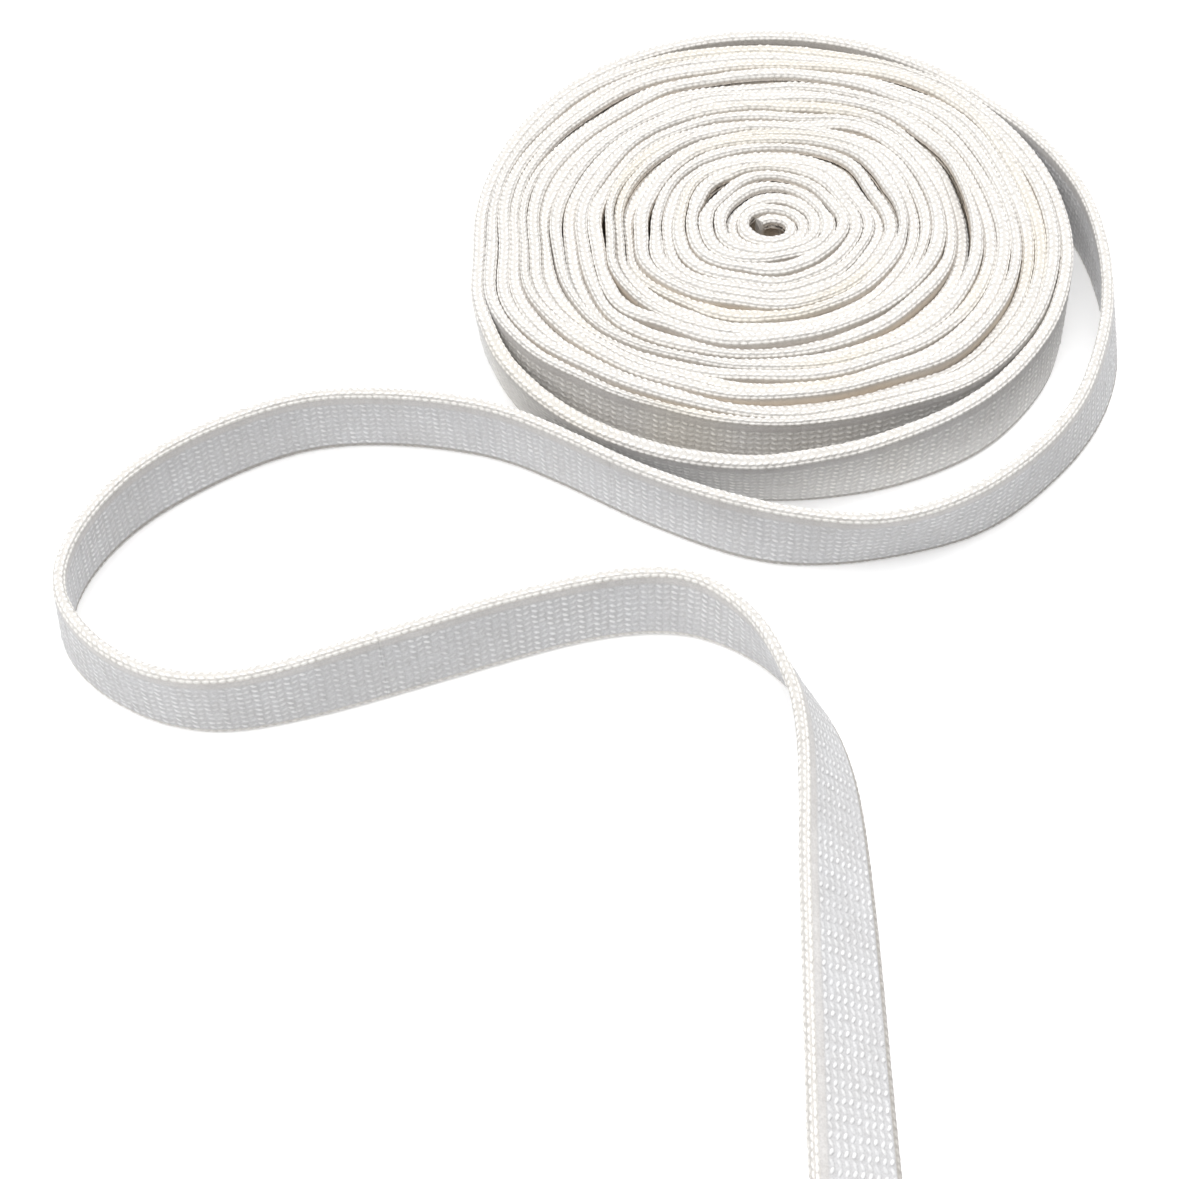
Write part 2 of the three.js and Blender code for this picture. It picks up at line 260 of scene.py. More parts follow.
def stripMesh(name, run, first, last, fineFrom=0, fineTo=allLines):
    # a stretch of webbing, its lines from fineFrom to fineTo meshed knot by knot
    whole = fineTo - fineFrom >= allLines
    every = coarse["every"]
    last = first + (last - first) // every * every
    rows = np.arange(first, last + 1)
    lines = np.arange(fineFrom, fineTo + (0 if whole else 1))
    point = surface(run, rows, lines % allLines)
    shades = shadesAt(run, rows, lines % allLines)
    count = len(lines)
    ids = np.arange(len(rows) * count).reshape(len(rows), count)
    if whole:
        ids = np.concatenate([ids, ids[:, :1]], 1)
    points = [point.reshape(-1, 3)]
    shade = {k: [v.reshape(-1)] for k, v in shades.items()}
    vertexAlong = [np.repeat(run["along"][rows], count)]
    vertexRound = [np.tile(lines * 1.0, len(rows))]
    polygons = [quadsOf(ids)]
    startRing = ids[0, :count]
    endRing = ids[-1, :count]
    if not whole:
        low, high = coarse["faceLines"]
        coarseFrom = fineTo + coarse["clear"]
        coarseTo = fineFrom + allLines - coarse["clear"]
        innerFoot = lastTopLine + faceLines
        kept = [innerFoot - high, innerFoot - low]
        kept += [innerFoot + i for i in range(1, edgeLines, 2)]
        kept += [allLines + low, allLines + high]
        kept = [line for line in kept if coarseFrom < line < coarseTo]
        kept = np.array([coarseFrom, *kept, coarseTo])
        few = rows[::every]
        wideShades = shadesAt(run, few, kept % allLines)
        flat = surface(run, few, kept % allLines, relief=False)
        base = len(rows) * count
        grid = base + np.arange(len(few) * len(kept)).reshape(len(few), len(kept))
        points.append(flat.reshape(-1, 3))
        for k, v in wideShades.items():
            shade[k].append(v.reshape(-1))
        vertexAlong.append(np.repeat(run["along"][few], len(kept)))
        vertexRound.append(np.tile(kept * 1.0, len(few)))
        polygons.append(quadsOf(grid))
        innerEdge = ids[:, -1]
        outerEdge = ids[:, 0]
        starts = np.arange(len(few) - 1) * every
        fan = [innerEdge[starts + i] for i in range(every + 1)]
        polygons.append(np.stack([grid[1:, 0], *fan[::-1], grid[:-1, 0]], -1)[:, ::-1])
        fan = [outerEdge[starts + i] for i in range(every + 1)]
        polygons.append(np.stack([grid[:-1, -1], *fan, grid[1:, -1]], -1))
        startRing = np.concatenate([startRing, grid[0]])
        endRing = np.concatenate([endRing, grid[-1]])
    caps = [startRing[::-1], endRing]
    shade = {k: np.concatenate(v) for k, v in shade.items()}
    place = (np.concatenate(vertexAlong), np.concatenate(vertexRound))
    return buildMesh(name, np.concatenate(points), polygons, caps, shade, *place)


def buildMesh(name, points, polygons, caps, shades, vertexAlong, vertexRound):
    mesh = bpy.data.meshes.new(name)
    corners = [p.reshape(-1) for p in polygons] + caps
    sizes = [np.full(len(p), p.shape[1]) for p in polygons] + [np.array([len(c)]) for c in caps]
    corners = np.concatenate(corners)
    sizes = np.concatenate(sizes)
    mesh.vertices.add(len(points))
    mesh.vertices.foreach_set("co", (points * mm).astype(np.float32).ravel())
    mesh.loops.add(len(corners))
    mesh.loops.foreach_set("vertex_index", corners.astype(np.int32))
    mesh.polygons.add(len(sizes))
    mesh.polygons.foreach_set("loop_start", (np.cumsum(sizes) - sizes).astype(np.int32))
    mesh.polygons.foreach_set("use_smooth", np.arange(len(sizes)) < len(sizes) - len(caps))
    mesh.update(calc_edges=True)
    for key, values in shades.items():
        layer = mesh.attributes.new(key, "FLOAT", "POINT")
        layer.data.foreach_set("value", values.astype(np.float32))
    # the weave's own coordinates, in knots along the webbing and yarns round it
    lineRound = vertexRound[corners]
    closing = np.repeat(np.maximum.reduceat(lineRound, np.cumsum(sizes) - sizes), sizes)
    lineRound = np.where(closing - lineRound > allLines / 2, lineRound + allLines, lineRound)
    uv = mesh.uv_layers.new(name="weave")
    flat = np.stack([vertexAlong[corners] / webbing["pick"], lineRound / webbing["perYarn"]], 1)
    uv.data.foreach_set("uv", (flat * weaveScale).astype(np.float32).ravel())
    mesh.validate()
    piece = bpy.data.objects.new(name, mesh)
    bpy.context.scene.collection.objects.link(piece)
    return piece


# The wound roll
roll = {
    "turns": 24,
    "rootAzimuth": 41.0,   # where the loose end leaves it, in degrees
    "lastTurn": 23.3,      # the inner end of the webbing, in turns from the outside
    "core": 2.3,           # mm, the radius that the turns close in on
    "top": 13.35,          # height of the turns' upper selvages
    "waver": 1.45,         # how far that height can wander
    "waverShares": (0.28, 0.9),  # of it everywhere, and in the few stretches that stand out
    "waverReach": 42,      # mm along the webbing over which it changes
    "ripple": 0.13,        # a finer waver, in mm
    "rippleReach": 13,
    "topRounding": 12,     # steps over which the height is evened out
    "secondTop": 13.55,    # that of the second turn, seen all along the front
    "cup": 3.0,            # how far the innermost turns sink
    "cupRadius": 6.5,      # and where that starts
    "tilt": 0.9,           # how far the turns about the middle tip, at their rim
    "tiltAzimuth": 262,    # the side on which they stand highest
    "tiltRadius": (9.5, 13.0),
    "wobble": 0.13,        # how far a turn wanders off its round line
    "wobbleReach": 9,
    "rounding": 2.0,       # mm along the webbing that a kink is rounded over
    "leastPitch": 1.3,     # how tightly two turns press together
    "apart": 0.04,         # mm left free between two turns
    "relaxing": 80,        # rounds in which turns push each other apart
    "squash": (1.15, 2.4),  # mm, least and greatest thickness that a turn is pressed to
    "bunching": 0.36,      # share by which their spacing varies
    "bunchReach": 32.0,    # degrees over which it changes
    "coreBunching": 0.35,  # share of it left at the core
    "bulgePowers": (0.7, 0.5),  # how the middle turns' bulge fades to the rim and the core
    "creviceReach": 6.0,   # turns that a crevice pushes aside on each side
    "footShare": 0.35,     # share of that push which reaches the foot
    "samples": 720,        # azimuths round the roll
    "easing": 3.0,         # degrees over which its outline is evened out
    "steepest": 0.6,       # slope at which a leaning turn is held
    "outsideHold": 1.15,   # turns in to which the outermost turn's height reaches
    "agedReach": 24,       # mm along the webbing over which it turns aged
    "agedFrom": 0.5,
    "creviceShadeAmount": (0.7, 0.3),    # painted shade between the turns, and how far it varies
    "creviceShadeWander": 11,
    "creviceShadeUnderRoot": 0.35,  # share of it on the inside of the outermost turn
}

# Where a change starts along the webbing, in turns in from the root, and how soon it is there
changes = {
    "wobble": (1, 0.2),
    "secondTop": (1.1, 0.2),
    "secondTopEnd": (2.0, -0.15),
    # where the loose end's painted shade gives way to the roll's colour
    "looseShadeEnd": (0, 0.4),
    # where painted shade between turns starts on their outer faces
    "outerCreviceShadeFrom": (1.75, 0.1),
}

# Outermost turn, from the root of the loose end once round the roll
outermostTurn = [
    {"azimuth": 41.0, "foot": 50.4, "top": 50.3, "height": 13.0, "gap": 0.4},
    {"azimuth": 55, "foot": 50.1, "top": 50.0, "height": 13.3, "gap": 1.4},
    {"azimuth": 75, "foot": 49.6, "top": 49.5, "height": 13.7, "gap": 2.0},
    {"azimuth": 95, "foot": 49.4, "top": 49.2, "height": 13.7, "gap": 1.8},
    {"azimuth": 115, "foot": 49.4, "top": 49.2, "height": 13.4, "gap": 0.8},
    {"azimuth": 135, "foot": 49.2, "top": 49.1, "height": 13.1, "gap": 0.3},
    {"azimuth": 160, "foot": 49.0, "top": 48.8, "height": 12.9, "gap": 0.3},
    {"azimuth": 185, "foot": 49.6, "top": 49.2, "height": 12.8, "gap": 0.3},
    {"azimuth": 203, "foot": 50.8, "top": 52.6, "height": 12.7, "gap": 0.4},
    {"azimuth": 216, "foot": 51.6, "top": 54.5, "height": 12.6, "gap": 3.0},
    {"azimuth": 230, "foot": 51.5, "top": 55.1, "height": 12.5, "gap": 5.9},
    {"azimuth": 246, "foot": 51.0, "top": 55.0, "height": 12.5, "gap": 6.9},
    {"azimuth": 262, "foot": 50.4, "top": 54.3, "height": 12.5, "gap": 6.3},
    {"azimuth": 277, "foot": 50.2, "top": 52.4, "height": 12.6, "gap": 4.6},
    {"azimuth": 292, "foot": 50.8, "top": 51.2, "height": 12.7, "gap": 3.0},
    {"azimuth": 308, "foot": 51.6, "top": 50.9, "height": 12.7, "gap": 0.9},
    {"azimuth": 325, "foot": 51.2, "top": 50.3, "height": 12.7, "gap": 0.3},
    {"azimuth": 345, "foot": 50.0, "top": 49.6, "height": 12.7, "gap": 0.3},
    {"azimuth": 368, "foot": 49.0, "top": 48.9, "height": 12.8, "gap": 0.3},
    {"azimuth": 386, "foot": 48.4, "top": 48.4, "height": 12.9, "gap": 0.3},
    {"azimuth": 401.0, "foot": 48.0, "top": 48.0, "height": 13.0, "gap": 0.4},
]

# How far the turns halfway in lie outside a true circle
middleBulge = [
    {"azimuth": 0, "bulge": -0.6},
    {"azimuth": 45, "bulge": 1.1},
    {"azimuth": 90, "bulge": 0.3},
    {"azimuth": 150, "bulge": -1.2},
    {"azimuth": 185, "bulge": 0.1},
    {"azimuth": 225, "bulge": 1.5},
    {"azimuth": 270, "bulge": -0.4},
    {"azimuth": 315, "bulge": -1.0},
    {"azimuth": 360, "bulge": -0.6},
]

# Crevices between turns: azimuth of the middle, radius, half its length in degrees, opening
crevices = [
    (70, 5.6, 60, 2.2), (0, 9.2, 14, 0.9), (345, 8.0, 14, 1.0), (52, 12.4, 18, 0.6),
    (76, 14.3, 18, 0.7), (140, 12.4, 32, 2.2), (182, 10.8, 18, 1.0), (278, 11.2, 38, 1.9),
    (290, 16.8, 24, 0.9), (26, 19.6, 16, 0.9), (22, 21.6, 14, 0.5), (140, 19.2, 16, 0.7),
    (175, 20.7, 24, 0.7), (205, 20.8, 22, 0.9), (250, 21.2, 18, 1.6), (290, 21.8, 24, 0.8),
    (338, 19.8, 10, 0.7), (108, 22.9, 14, 0.9), (56, 25.2, 22, 2.0), (135, 25.0, 18, 0.8),
    (225, 24.8, 24, 1.6), (340, 25.8, 12, 0.6), (24, 28.2, 14, 1.0), (76, 27.8, 16, 0.9),
    (255, 27.6, 20, 0.7), (106, 28.6, 18, 1.1), (180, 28.6, 24, 0.9), (300, 29.4, 30, 0.7),
    (217, 30.2, 17, 2.3), (232, 31.6, 18, 1.6), (80, 31.4, 12, 0.6), (35, 32.5, 20, 0.6),
    (116, 32.6, 14, 0.8), (312, 33.7, 18, 1.0), (165, 35.3, 20, 0.5), (262, 36.0, 14, 0.9),
    (40, 37.0, 18, 1.0), (60, 38.2, 12, 0.8), (126, 37.5, 12, 0.8), (205, 38.0, 20, 1.0),
    (305, 38.5, 22, 0.7), (108, 39.7, 12, 0.6), (270, 40.6, 16, 0.8), (310, 40.3, 12, 0.6),
    (245, 41.2, 10, 0.6), (220, 41.8, 10, 0.6), (132, 41.8, 14, 0.9), (52, 42.0, 22, 1.8),
    (106, 43.0, 14, 1.2), (78, 44.0, 18, 0.6), (36, 45.8, 10, 0.8), (20, 46.6, 20, 0.7),
    (288, 46.0, 14, 0.9), (306, 47.4, 16, 0.7), (222, 46.2, 14, 0.8),
]


def turnRadii():
    # outer radius of the webbing at its upper and its lower selvage, one row for each turn
    # from the outside in and one column for each azimuth
    count = roll["samples"]
    frac = np.arange(count) / count
    azimuth = roll["rootAzimuth"] + 360 * frac
    turn = np.arange(roll["turns"])[:, None] + frac[None, :]
    top = between(outermostTurn, "top", azimuth)
    foot = between(outermostTurn, "foot", azimuth)
    gap = between(outermostTurn, "gap", azimuth)
    drop = outermostTurn[0]["top"] - outermostTurn[-1]["top"]
    closed = top + drop * frac
    share = 1 - turn / roll["turns"]
    rimPower, corePower = roll["bulgePowers"]
    across = np.sin(np.pi * share) ** rimPower * share ** corePower
    bulge = between(middleBulge, "bulge", azimuth % 360)
    push = gap - gap[0] + drop - (closed - roll["core"]) / roll["turns"]
    calm = roll["core"] + (closed - roll["core"]) * share - push * share + bulge * across
    # the turns are pressed unevenly, so that they bunch up and spread apart again
    length = turn.size
    bunching = roll["bunching"] * wander(length, 360 / count, roll["bunchReach"], 7)
    bunching = bunching.reshape(turn.shape) * (roll["coreBunching"] + (1 - roll["coreBunching"]) * share)
    pitch = (calm[1:-1] - calm[2:]) * (1 + bunching[1:-1])
    pitch *= (calm[1] - calm[-1]) / pitch.sum(axis=0)
    calm[2:] = calm[1] - np.cumsum(pitch, axis=0)
    calm[0] = top
    upper = calm.copy()
    for place, radius, halfSpan, opening in crevices:
        column = int(round(((place - roll["rootAzimuth"]) % 360) / 360 * count)) % count
        nearest = int(np.argmin(np.abs(calm[1:, column] - radius))) + 1
        line = nearest + column / count
        apart = (azimuth - roll["rootAzimuth"] - column / count * 360 + 180) % 360 - 180
        bell = np.cos(apart / halfSpan * np.pi / 2) ** 2
        spread = opening * np.where(np.abs(apart) < halfSpan, bell, 0)
        inward = np.round(turn - (line + apart / 360)[None, :])
        inside = np.clip(1 - inward / roll["creviceReach"], 0, 1) * (inward >= 0)
        outside = np.clip(1 - (-inward - 1) / roll["creviceReach"], 0, 1) * (inward < 0)
        upper += 0.5 * spread[None, :] * (outside - inside)
    upper[0] = top
    for _ in range(roll["relaxing"]):
        # turns that press together too tightly push each other apart
        short = np.clip(roll["leastPitch"] - (upper[:-1] - upper[1:]), 0, None) / 2
        upper[1:-1] += short[1:]
        upper[1:] -= short
        upper[1:] = np.minimum(upper[1:], (top - roll["leastPitch"])[None, :])
    upper[1] = np.minimum(upper[1], top - webbing["thickness"] - gap)
    lower = calm + roll["footShare"] * (upper - calm)
    lower[0] = foot
    return turn, azimuth, upper, lower


def changed(line, name):
    start, over = changes[name]
    return smooth((line - start) / over)


def rollRun():
    turn, azimuth, upper, lower = turnRadii()
    pitch = np.concatenate([upper[:-1] - upper[1:], np.full_like(upper[-1:], webbing["thickness"])])
    line = turn.ravel()
    end = int(roll["lastTurn"] * roll["samples"])
    easing = roll["easing"] * roll["samples"] / 360
    radius = ironed(upper.ravel(), easing)[:end]
    footRadius = ironed(lower.ravel(), easing)[:end]
    room = ironed(pitch.ravel(), easing)[:end]
    line = line[:end]
    angle = np.radians(roll["rootAzimuth"] + 360 * line)
    thick = np.clip(room - roll["apart"], *roll["squash"])
    middle = radius - thick / 2
    x = middle * np.cos(angle)
    y = middle * np.sin(angle)
    length = np.concatenate([[0], np.cumsum(np.hypot(np.diff(x), np.diff(y)))])
    stations = np.arange(0, length[-1], step)
    count = len(stations)

    def at(values):
        return np.interp(stations, length, values)

    line, angle, thick = at(line), at(angle), at(thick)
    rounding = roll["rounding"] / step
    wobble = roll["wobble"] * wander(count, step, roll["wobbleReach"], 6)
    middle = ironed(at(middle), rounding) + wobble * changed(line, "wobble")
    footMiddle = ironed(at(footRadius), rounding) - thick / 2
    # most of the turns are flush, and a few stretches stand clear or sink
    swell = wander(count, step, roll["waverReach"], 3)
    allOver, stretches = roll["waverShares"]
    height = roll["top"] + roll["waver"] * (allOver * swell + stretches * swell ** 3)
    height += roll["ripple"] * wander(count, step, roll["rippleReach"], 4)
    height -= roll["cup"] * smooth((roll["cupRadius"] - middle) / roll["cupRadius"])
    inner, outer = roll["tiltRadius"]
    tipped = smooth((outer - middle) / (outer - inner))
    tipped = tipped * np.cos(angle - math.radians(roll["tiltAzimuth"]))
    height += roll["tilt"] * tipped * np.clip(middle / inner, 0, 1)
    # the second turn keeps to a height of its own, and the outermost turn to its table
    second = changed(line, "secondTop") * changed(line, "secondTopEnd")
    height += (roll["secondTop"] - height) * second
    outside = between(outermostTurn, "height", np.degrees(angle))
    hold = np.clip(roll["outsideHold"] - line, 0, 1)
    height = np.where(line < 1, outside, height + (outside - height) * hold)
    height = ironed(height, roll["topRounding"])
    slope = (middle - footMiddle) / webbing["width"]
    cosLean = np.sqrt(1 - np.clip(slope, -roll["steepest"], roll["steepest"]) ** 2)
    none = np.zeros(count)
    outward = np.stack([np.cos(angle), np.sin(angle), none], 1)
    upward = np.stack([none, none, none + 1], 1)
    # a turn that sinks stops at the table, and its foot is squeezed
    footHeight = height - webbing["width"] * cosLean
    squeezed = 1 + np.minimum(footHeight, 0) / webbing["width"]
    up = (outward * slope[:, None] + upward * cosLean[:, None]) * squeezed[:, None]
    across = outward * cosLean[:, None] - upward * slope[:, None]
    foot = outward * footMiddle[:, None] + upward * np.maximum(footHeight, 0)[:, None]
    aged = np.clip(wander(count, step, roll["agedReach"], 5) - roll["agedFrom"], 0, 1)
    # painted shade between the turns, patchy along the webbing
    evenCreviceShade, patchyCreviceShade = roll["creviceShadeAmount"]
    creviceShadeAmount = evenCreviceShade + patchyCreviceShade * wander(count, step, roll["creviceShadeWander"], 8)
    return {
        "along": -stations,
        "turn": line,
        "foot": foot,
        "up": up,
        "across": across,
        "thick": thick,
        "tone": aged,
        # 1 on the roll, 0 on the loose end, which is painted in shade
        "wound": changed(line, "looseShadeEnd"),
        "outerCreviceShade": creviceShadeAmount * changed(line, "outerCreviceShadeFrom"),
        "innerCreviceShade": creviceShadeAmount * np.where(line < 1, roll["creviceShadeUnderRoot"], 1.0),
    }


# The loose end: the middle of its foot on the table, in mm, and its lean off upright in
# degrees, positive when its upper selvage leans to the right of the way it runs
looseEndPath = [
    (37.8, 31.8, 0), (46.2, 21.7, 1), (51.9, 11.0, 3), (54.7, 1.5, 6), (55.7, -9.0, 9),
    (55.4, -18.0, 12), (54.1, -25.8, 14), (50.8, -34.1, 12), (46.1, -41.3, 6), (40.0, -48.0, 1),
    (33.2, -54.0, -1), (26.3, -58.0, -5), (18.0, -60.4, -11), (9.5, -62.0, -10), (1.0, -62.4, -2),
    (-7.0, -60.9, 1), (-16.0, -56.8, -1), (-25.0, -51.6, -3), (-34.0, -45.6, -3), (-44.0, -40.0, -3),
    (-54.0, -37.2, -3), (-64.0, -36.0, -3), (-74.0, -36.6, -2), (-83.0, -39.8, -1), (-91.5, -44.9, 1),
    (-99.3, -51.0, 0), (-105.0, -58.0, -3), (-108.6, -66.0, -5), (-109.0, -73.5, -5), (-105.8, -80.0, -4),
    (-99.8, -85.5, -1), (-92.0, -89.6, 0), (-83.5, -91.0, -1), (-74.0, -89.4, -3), (-64.0, -86.6, -7),
    (-54.0, -83.2, -8), (-44.0, -79.8, -9), (-34.0, -76.6, -7), (-25.0, -75.0, -8), (-17.0, -75.2, -7),
    (-10.5, -77.6, 2), (-5.0, -81.6, 11), (-0.8, -86.6, 20), (2.8, -92.7, 28), (5.0, -100.0, 36),
    (6.0, -108.0, 43), (6.4, -118.0, 50), (6.5, -130.0, 55), (6.4, -143.0, 59), (6.3, -157.0, 64),
    (6.4, -170.0, 69), (6.7, -182.0, 72),
]


# How it is laid along that path
laying = {
    "rounding": 9,     # steps over which a bend is evened out
    "blend": 14,       # mm over which it comes away from the outermost turn
    "rest": 0.8,       # share of the lift on a corner of its foot, the cloth giving the rest
}


def curvedPath(rows, perRow=24):
    # smooth curve through every row
    rows = np.array(rows, float)
    rows = np.concatenate([2 * rows[:1] - rows[1:2], rows, 2 * rows[-1:] - rows[-2:-1]])
    t = (np.arange(perRow) / perRow)[None, :, None]
    a, b, c, d = (rows[i:len(rows) - 3 + i, None, :] for i in range(4))
    square = (2 * a - 5 * b + 4 * c - d) * t ** 2
    cube = (3 * b - a - 3 * c + d) * t ** 3
    curve = 0.5 * (2 * b + (c - a) * t + square + cube)
    return np.concatenate([curve.reshape(-1, 3), rows[-2:-1]])


def looseRun(root):
    path = curvedPath(looseEndPath)
    length = np.concatenate([[0], np.cumsum(np.hypot(*np.diff(path[:, :2], axis=0).T))])
    stations = np.arange(0, length[-1], step)
    columns = [np.interp(stations, length, path[:, i]) for i in range(3)]
    x, y, lean = (ironed(column, laying["rounding"]) for column in columns)
    blend = smooth(stations / laying["blend"])
    none = np.zeros(len(x))
    # it starts exactly where the outermost turn of the roll ends
    startFoot = root["foot"][0]
    x = x * blend + (startFoot[0] + (x - x[0])) * (1 - blend)
    y = y * blend + (startFoot[1] + (y - y[0])) * (1 - blend)
    along = np.stack([np.gradient(x), np.gradient(y), none], 1)
    along /= np.linalg.norm(along, axis=1)[:, None]
    left = np.stack([-along[:, 1], along[:, 0], none], 1)
    lean = np.radians(lean)
    upward = np.stack([none, none, none + 1], 1)
    up = upward * np.cos(lean)[:, None] - left * np.sin(lean)[:, None]
    across = left * np.cos(lean)[:, None] + upward * np.sin(lean)[:, None]
    # resting on the table by whichever corner of the foot is lowest
    half = webbing["thickness"] / 2
    lift = half * np.abs(np.sin(lean)) * laying["rest"] + startFoot[2] * (1 - blend)
    return {
        "along": stations,
        "foot": np.stack([x, y, lift], 1),
        "up": up,
        "across": across,
        "thick": none + webbing["thickness"],
        "tone": none,
        "wound": none,
        "outerCreviceShade": none,
        "innerCreviceShade": none,
    }


print("laying out the turns of the roll")
wound = rollRun()
print("laying out the loose end")
loose = looseRun(wound)
whole = {key: np.concatenate([wound[key][:0:-1], loose[key]]) for key in loose}
rootRow = len(wound["along"]) - 1
turnOfRow = wound["turn"][::-1]
allLength = len(whole["along"]) * step * mm
looseLength = len(loose["along"]) * step * mm
print("webbing in all: %.2f m, of it %.2f m loose" % (allLength, looseLength))


def rowOfTurn(turns):
    # station where the webbing is this many turns in from the root
    return int(np.argmin(np.abs(turnOfRow - turns)))


# Pieces of the roll: how many turns in each reaches, and its lines meshed knot by knot
topOnly = {"from": firstTopLine - 1, "to": lastTopLine + 1}
rollPieces = {
    "outermost_turn": {"reaches": 1.02, "from": 0, "to": lastTopLine + 8},
    "second_turn_back": {"reaches": 1.40, **topOnly},
    "second_turn_front": {"reaches": 1.80, "from": 6, "to": lastTopLine + 1},
    "outer_turns": {"reaches": 5.4, **topOnly},
    "middle_turns": {"reaches": 11.5, **topOnly},
    "inner_turns": {"reaches": roll["turns"], **topOnly},
}
looseNames = ["loose_end_near_roll", "loose_end_loop", "loose_end_run_off"]
print("meshing the webbing")
pieces = {}
# the pieces meet on the crowns of a row of knots
perKnot = webbing["perKnot"]
joint = rootRow + perKnot // 2
endRow = len(whole["along"]) - 1
looseCuts = [joint + (endRow - joint) * i // 3 // perKnot * perKnot for i in range(4)]
looseSpans = list(zip(looseNames, looseCuts[:-1], looseCuts[1:]))
for name, first, last in looseSpans:
    pieces[name] = stripMesh(name, whole, first, last)
last = joint
for name, plan in rollPieces.items():
    rows = (last - rowOfTurn(plan["reaches"])) // perKnot * perKnot
    first = max(last % perKnot, last - rows)
    pieces[name] = stripMesh(name, whole, first, last, plan["from"], plan["to"])
    last = first
triangles = 0
for name, piece in pieces.items():
    count = sum(len(p.vertices) - 2 for p in piece.data.polygons)
    triangles += count
    print(" ", name, count, "triangles")
print("  in all", triangles)


# Cotton: colour, roughness and fine bump
cotton = {
    "face": (0.98, 0.975, 0.955),        # the flat of the weave where it is wound
    "shadedLooseFace": (0.88, 0.885, 0.895),   # and along the loose end, the same cotton painted darker and cooler as shade
    "selvage": (0.92, 0.905, 0.88),      # creamier
    "strip": (0.86, 0.845, 0.83),        # the smooth strip below the upper selvage, creamier, and darker as painted shade under the beads above it
    "stripEdge": (2.9, 3.3),             # yarns from the upper selvage over which it ends
    "stripCrown": (0.85, 0.25),          # how smooth it is, and its colour from the painted valley shade to crown
    "foot": (0.62, 0.61, 0.60),          # painted contact shadow on the column it stands on, as a share of the colour
    "footShadePlace": 0.45,                   # yarns below the face that its middle lies
    "footShadeReach": (0.35, 0.6),            # yarns to each side over which it ends
    "valleyShade": (0.68, 0.675, 0.68),       # painted shade between knots, as a share of the colour
    "edgeValleyShade": (0.72, 0.71, 0.70),    # the same on the selvages
    "beadValleyShade": (0.71, 0.70, 0.69),    # and between their beads
    "valleyShadeReach": (0.10, 0.80),         # crown heights over which the painted shade gives way to a knot's colour
    "patchSize": 9.0,                    # mm, of the patches in which the painted shade between knots shows less
    "patches": (0.4, 0.6, 0.6, 1.0),     # noise from and to, and how far they show there
    "creviceShadeColor": (0.72, 0.60, 0.46),        # painted shade deep between turns, warm like light bounced between them
    "creviceShadeMost": 0.85,
    "aged": (0.93, 0.86, 0.70),          # yellowed stretches
    "agedMost": (0.5, 0.35),             # age at which they are strongest, and how strong
    "mottleSize": 14.0,                  # mm, of the clouding
    "mottle": (0.35, 0.65, 0, 0.12),     # noise from and to, and its strength there
    "mottleTint": (0.93, 0.90, 0.84),
    "eachTint": (0.88, 0.87, 0.86),      # how dark one knot is beside the next
    "eachMost": 0.5,
    "lintSize": 0.30,                    # mm, of the fine grain of the yarn
    "lint": (0.35, 0.65, 0, 0.8),
    "lintTint": (0.86, 0.86, 0.86),
    "roughness": (0.96, 0.84),           # between knots and on a crown
    "knotDepth": 0.13,                   # mm of bump on a knot
    "bumpStrength": 0.8,
    "knotBump": 2.2,                     # a knot's bump beside that of its strands
    "strands": (300, 650, 1),            # strands of the yarn, along and round the webbing
    "fuzz": (5200, 0.5),                 # fineness of the fuzz, and its height beside them
    "sheen": (0.2, 0.5),                 # and its roughness
    "specular": 0.2,
}


def color(rgb):
    return (*rgb, 1.0)


def groupWithSockets(name, inputs, outputs):
    group = bpy.data.node_groups.new(name, "ShaderNodeTree")
    for label, kind, value in inputs:
        socket = group.interface.new_socket(name=label, in_out="INPUT", socket_type=kind)
        socket.default_value = value
    for label, kind in outputs:
        group.interface.new_socket(name=label, in_out="OUTPUT", socket_type=kind)
    start = group.nodes.new("NodeGroupInput")
    end = group.nodes.new("NodeGroupOutput")
    start.location = (-900, 0)
    end.location = (900, 0)
    return group, start, end


def feed(tree, values):
    # link or set each input
    for socket, value in values.items():
        if isinstance(value, bpy.types.NodeSocket):
            tree.links.new(value, socket)
        else:
            socket.default_value = value


def mixColor(tree, blendType, factor, a, b):
    node = tree.nodes.new("ShaderNodeMix")
    node.data_type = "RGBA"
    node.blend_type = blendType
    feed(tree, {node.inputs[0]: factor, node.inputs[6]: a, node.inputs[7]: b})
    return node.outputs[2]


def mixNumber(tree, factor, a, b):
    node = tree.nodes.new("ShaderNodeMix")
    feed(tree, {node.inputs[0]: factor, node.inputs[2]: a, node.inputs[3]: b})
    return node.outputs[0]


def reckon(tree, operation, first, second=0.0, third=0.0):
    node = tree.nodes.new("ShaderNodeMath")
    node.operation = operation
    feed(tree, dict(zip(node.inputs, (first, second, third))))
    return node.outputs[0]


def mapped(tree, value, fromLow, fromHigh, toLow, toHigh):
    node = tree.nodes.new("ShaderNodeMapRange")
    tree.links.new(value, node.inputs["Value"])
    node.inputs["From Min"].default_value = fromLow
    node.inputs["From Max"].default_value = fromHigh
    node.inputs["To Min"].default_value = toLow
    node.inputs["To Max"].default_value = toHigh
    return node.outputs["Result"]


def readAttribute(tree, name):
    node = tree.nodes.new("ShaderNodeAttribute")
    node.attribute_name = name
    return node.outputs["Fac"]


def noise(tree, vector, scale, detail):
    node = tree.nodes.new("ShaderNodeTexNoise")
    node.inputs["Scale"].default_value = scale
    node.inputs["Detail"].default_value = detail
    tree.links.new(vector, node.inputs["Vector"])
    return node.outputs["Fac"]


def useGroup(tree, group):
    node = tree.nodes.new("ShaderNodeGroup")
    node.node_tree = group
    return node.outputs


